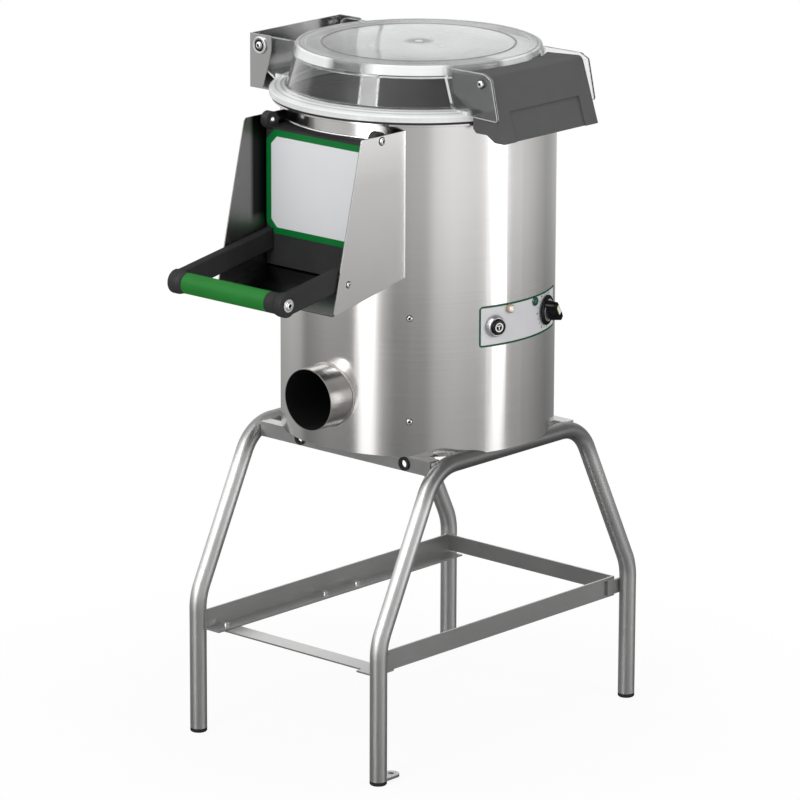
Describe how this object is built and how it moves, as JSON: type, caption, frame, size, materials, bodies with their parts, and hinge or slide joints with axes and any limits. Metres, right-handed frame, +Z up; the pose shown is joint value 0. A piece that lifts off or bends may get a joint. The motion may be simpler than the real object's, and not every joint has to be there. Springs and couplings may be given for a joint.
{
  "type": "electric potato peeler",
  "caption": "Floor-standing drum peeler on a bent tube stand, with a clear latched lid, a lift-up discharge door with a bar handle, a drain pipe and a belt-driven abrasive disc.",
  "frame": {"origin": "centre of the bounding box at floor level", "axes": "+Z up from the floor, -Y towards the discharge chute and its handle, +X towards the control panel and the lid latch"},
  "size_m": [0.4956, 0.7015, 1.0161],
  "materials": {
    "stand_tube": "satin",
    "stand_rail": "satin",
    "drum_steel": "brushed",
    "sheet_steel": "brushed",
    "bolt_chrome": "polished",
    "cap_rubber": "matte",
    "seal_rubber": "matte",
    "abrasive_grit": "coarse",
    "cast_grey": "as cast",
    "motor_paint": "semi-gloss",
    "shaft_steel": "ground",
    "panel_plate": "printed",
    "label_plate": "printed",
    "border_green": "printed",
    "door_plastic": "fine grain",
    "arm_plastic": "fine grain",
    "grip_green": "fine grain",
    "rod_black": "fine grain",
    "lid_clear": "clear",
    "lever_plastic": "satin",
    "knob_black": "satin",
    "button_white": "satin",
    "lamp_amber": "glossy",
    "lamp_green": "glossy",
    "switch_plastic": "satin",
    "gland_plastic": "satin",
    "inlet_brass": "machined"
  },
  "bodies": {
    "machine": {"stand_frame_left": "stand_tube", "stand_frame_right": "stand_tube", "foot_caps": "cap_rubber", "anchor_lug": "stand_rail", "lower_rail_left": "stand_rail", "lower_rail_right": "stand_rail", "lower_rail_rear": "stand_rail", "lower_rail_front": "stand_rail", "rail_corner_tabs": "stand_rail", "rail_bolts": "bolt_chrome", "front_cross_rail": "stand_rail", "rear_cross_rail": "stand_rail", "rail_grommets": "cap_rubber", "drum_shell": "drum_steel", "wall_screws": "bolt_chrome", "rim_gasket": "seal_rubber", "abrasive_liner": "abrasive_grit", "chamber_floor": "sheet_steel", "base_plate": "sheet_steel", "machine_plate": "sheet_steel", "bearing_housing": "cast_grey", "bearings": "shaft_steel", "shaft_seal": "seal_rubber", "motor_body": "motor_paint", "drive_belt": "seal_rubber", "drain_duct": "sheet_steel", "chute_cheeks": "sheet_steel", "chute_floor": "sheet_steel", "door_pins": "bolt_chrome", "hinge_bracket": "sheet_steel", "hinge_pins": "bolt_chrome", "latch_catch": "sheet_steel", "control_panel": "panel_plate", "button_bezel": "bolt_chrome", "pilot_lamp_power": "lamp_amber", "pilot_lamp_run": "lamp_green", "timer_body": "switch_plastic", "contact_block": "switch_plastic", "junction_box": "switch_plastic", "lid_switch": "gland_plastic", "water_inlet": "inlet_brass", "cable_gland": "gland_plastic"},
    "lid": {"lid_cover": "lid_clear", "latch_pins": "bolt_chrome"},
    "latch": {"latch_lever": "lever_plastic"},
    "door": {"door_panel": "door_plastic", "door_label": "label_plate", "door_border": "border_green", "door_gasket": "seal_rubber", "door_arms": "arm_plastic", "handle_rod": "rod_black", "handle_grip": "grip_green", "handle_screws": "bolt_chrome"},
    "knob": {"timer_knob": "knob_black"},
    "button": {"start_button": "button_white"},
    "spindle": {"abrasive_disc": "abrasive_grit", "disc_nut": "shaft_steel", "main_shaft": "shaft_steel", "big_pulley": "cast_grey"},
    "rotor": {"motor_rotor": "cast_grey"}
  },
  "joints": [
    {"name": "lid_hinge", "type": "hinge", "parent": "machine", "child": "lid", "pos_m": [-0.2273, 0.06475, 0.9935], "axis": [0, -1, 0], "range_deg": [0, 100]},
    {"name": "latch_hinge", "type": "hinge", "parent": "lid", "child": "latch", "pos_m": [0.2082, 0.06475, 0.998], "axis": [0, -1, 0], "range_deg": [0, 15], "stiffness_Nm_per_rad": 0.6, "springref_deg": -28.65},
    {"name": "door_hinge", "type": "hinge", "parent": "machine", "child": "door", "pos_m": [0.0012, -0.14525, 0.919], "axis": [-1, 0, 0], "range_deg": [0, 75]},
    {"name": "timer_turn", "type": "hinge", "parent": "machine", "child": "knob", "pos_m": [0.19435, 0.13138, 0.638], "axis": [0.9483, 0.3173, 0], "range_deg": [0, 300]},
    {"name": "button_press", "type": "slide", "parent": "machine", "child": "button", "axis": [-0.9659, 0.2588, 0], "range_m": [0, 0.003], "stiffness_N_per_m": 400, "springref_m": -0.001},
    {"name": "spindle_turn", "type": "hinge", "parent": "machine", "child": "spindle", "pos_m": [-0.0048, 0.06475, 0.6], "axis": [0, 0, 1], "continuous": true},
    {"name": "rotor_turn", "type": "hinge", "parent": "machine", "child": "rotor", "pos_m": [-0.0048, 0.19475, 0.52], "axis": [0, 0, 1], "continuous": true}
  ],
  "couplings": [
    {"joint": "rotor_turn", "follows": "spindle_turn", "ratio": 4.869}
  ]
}
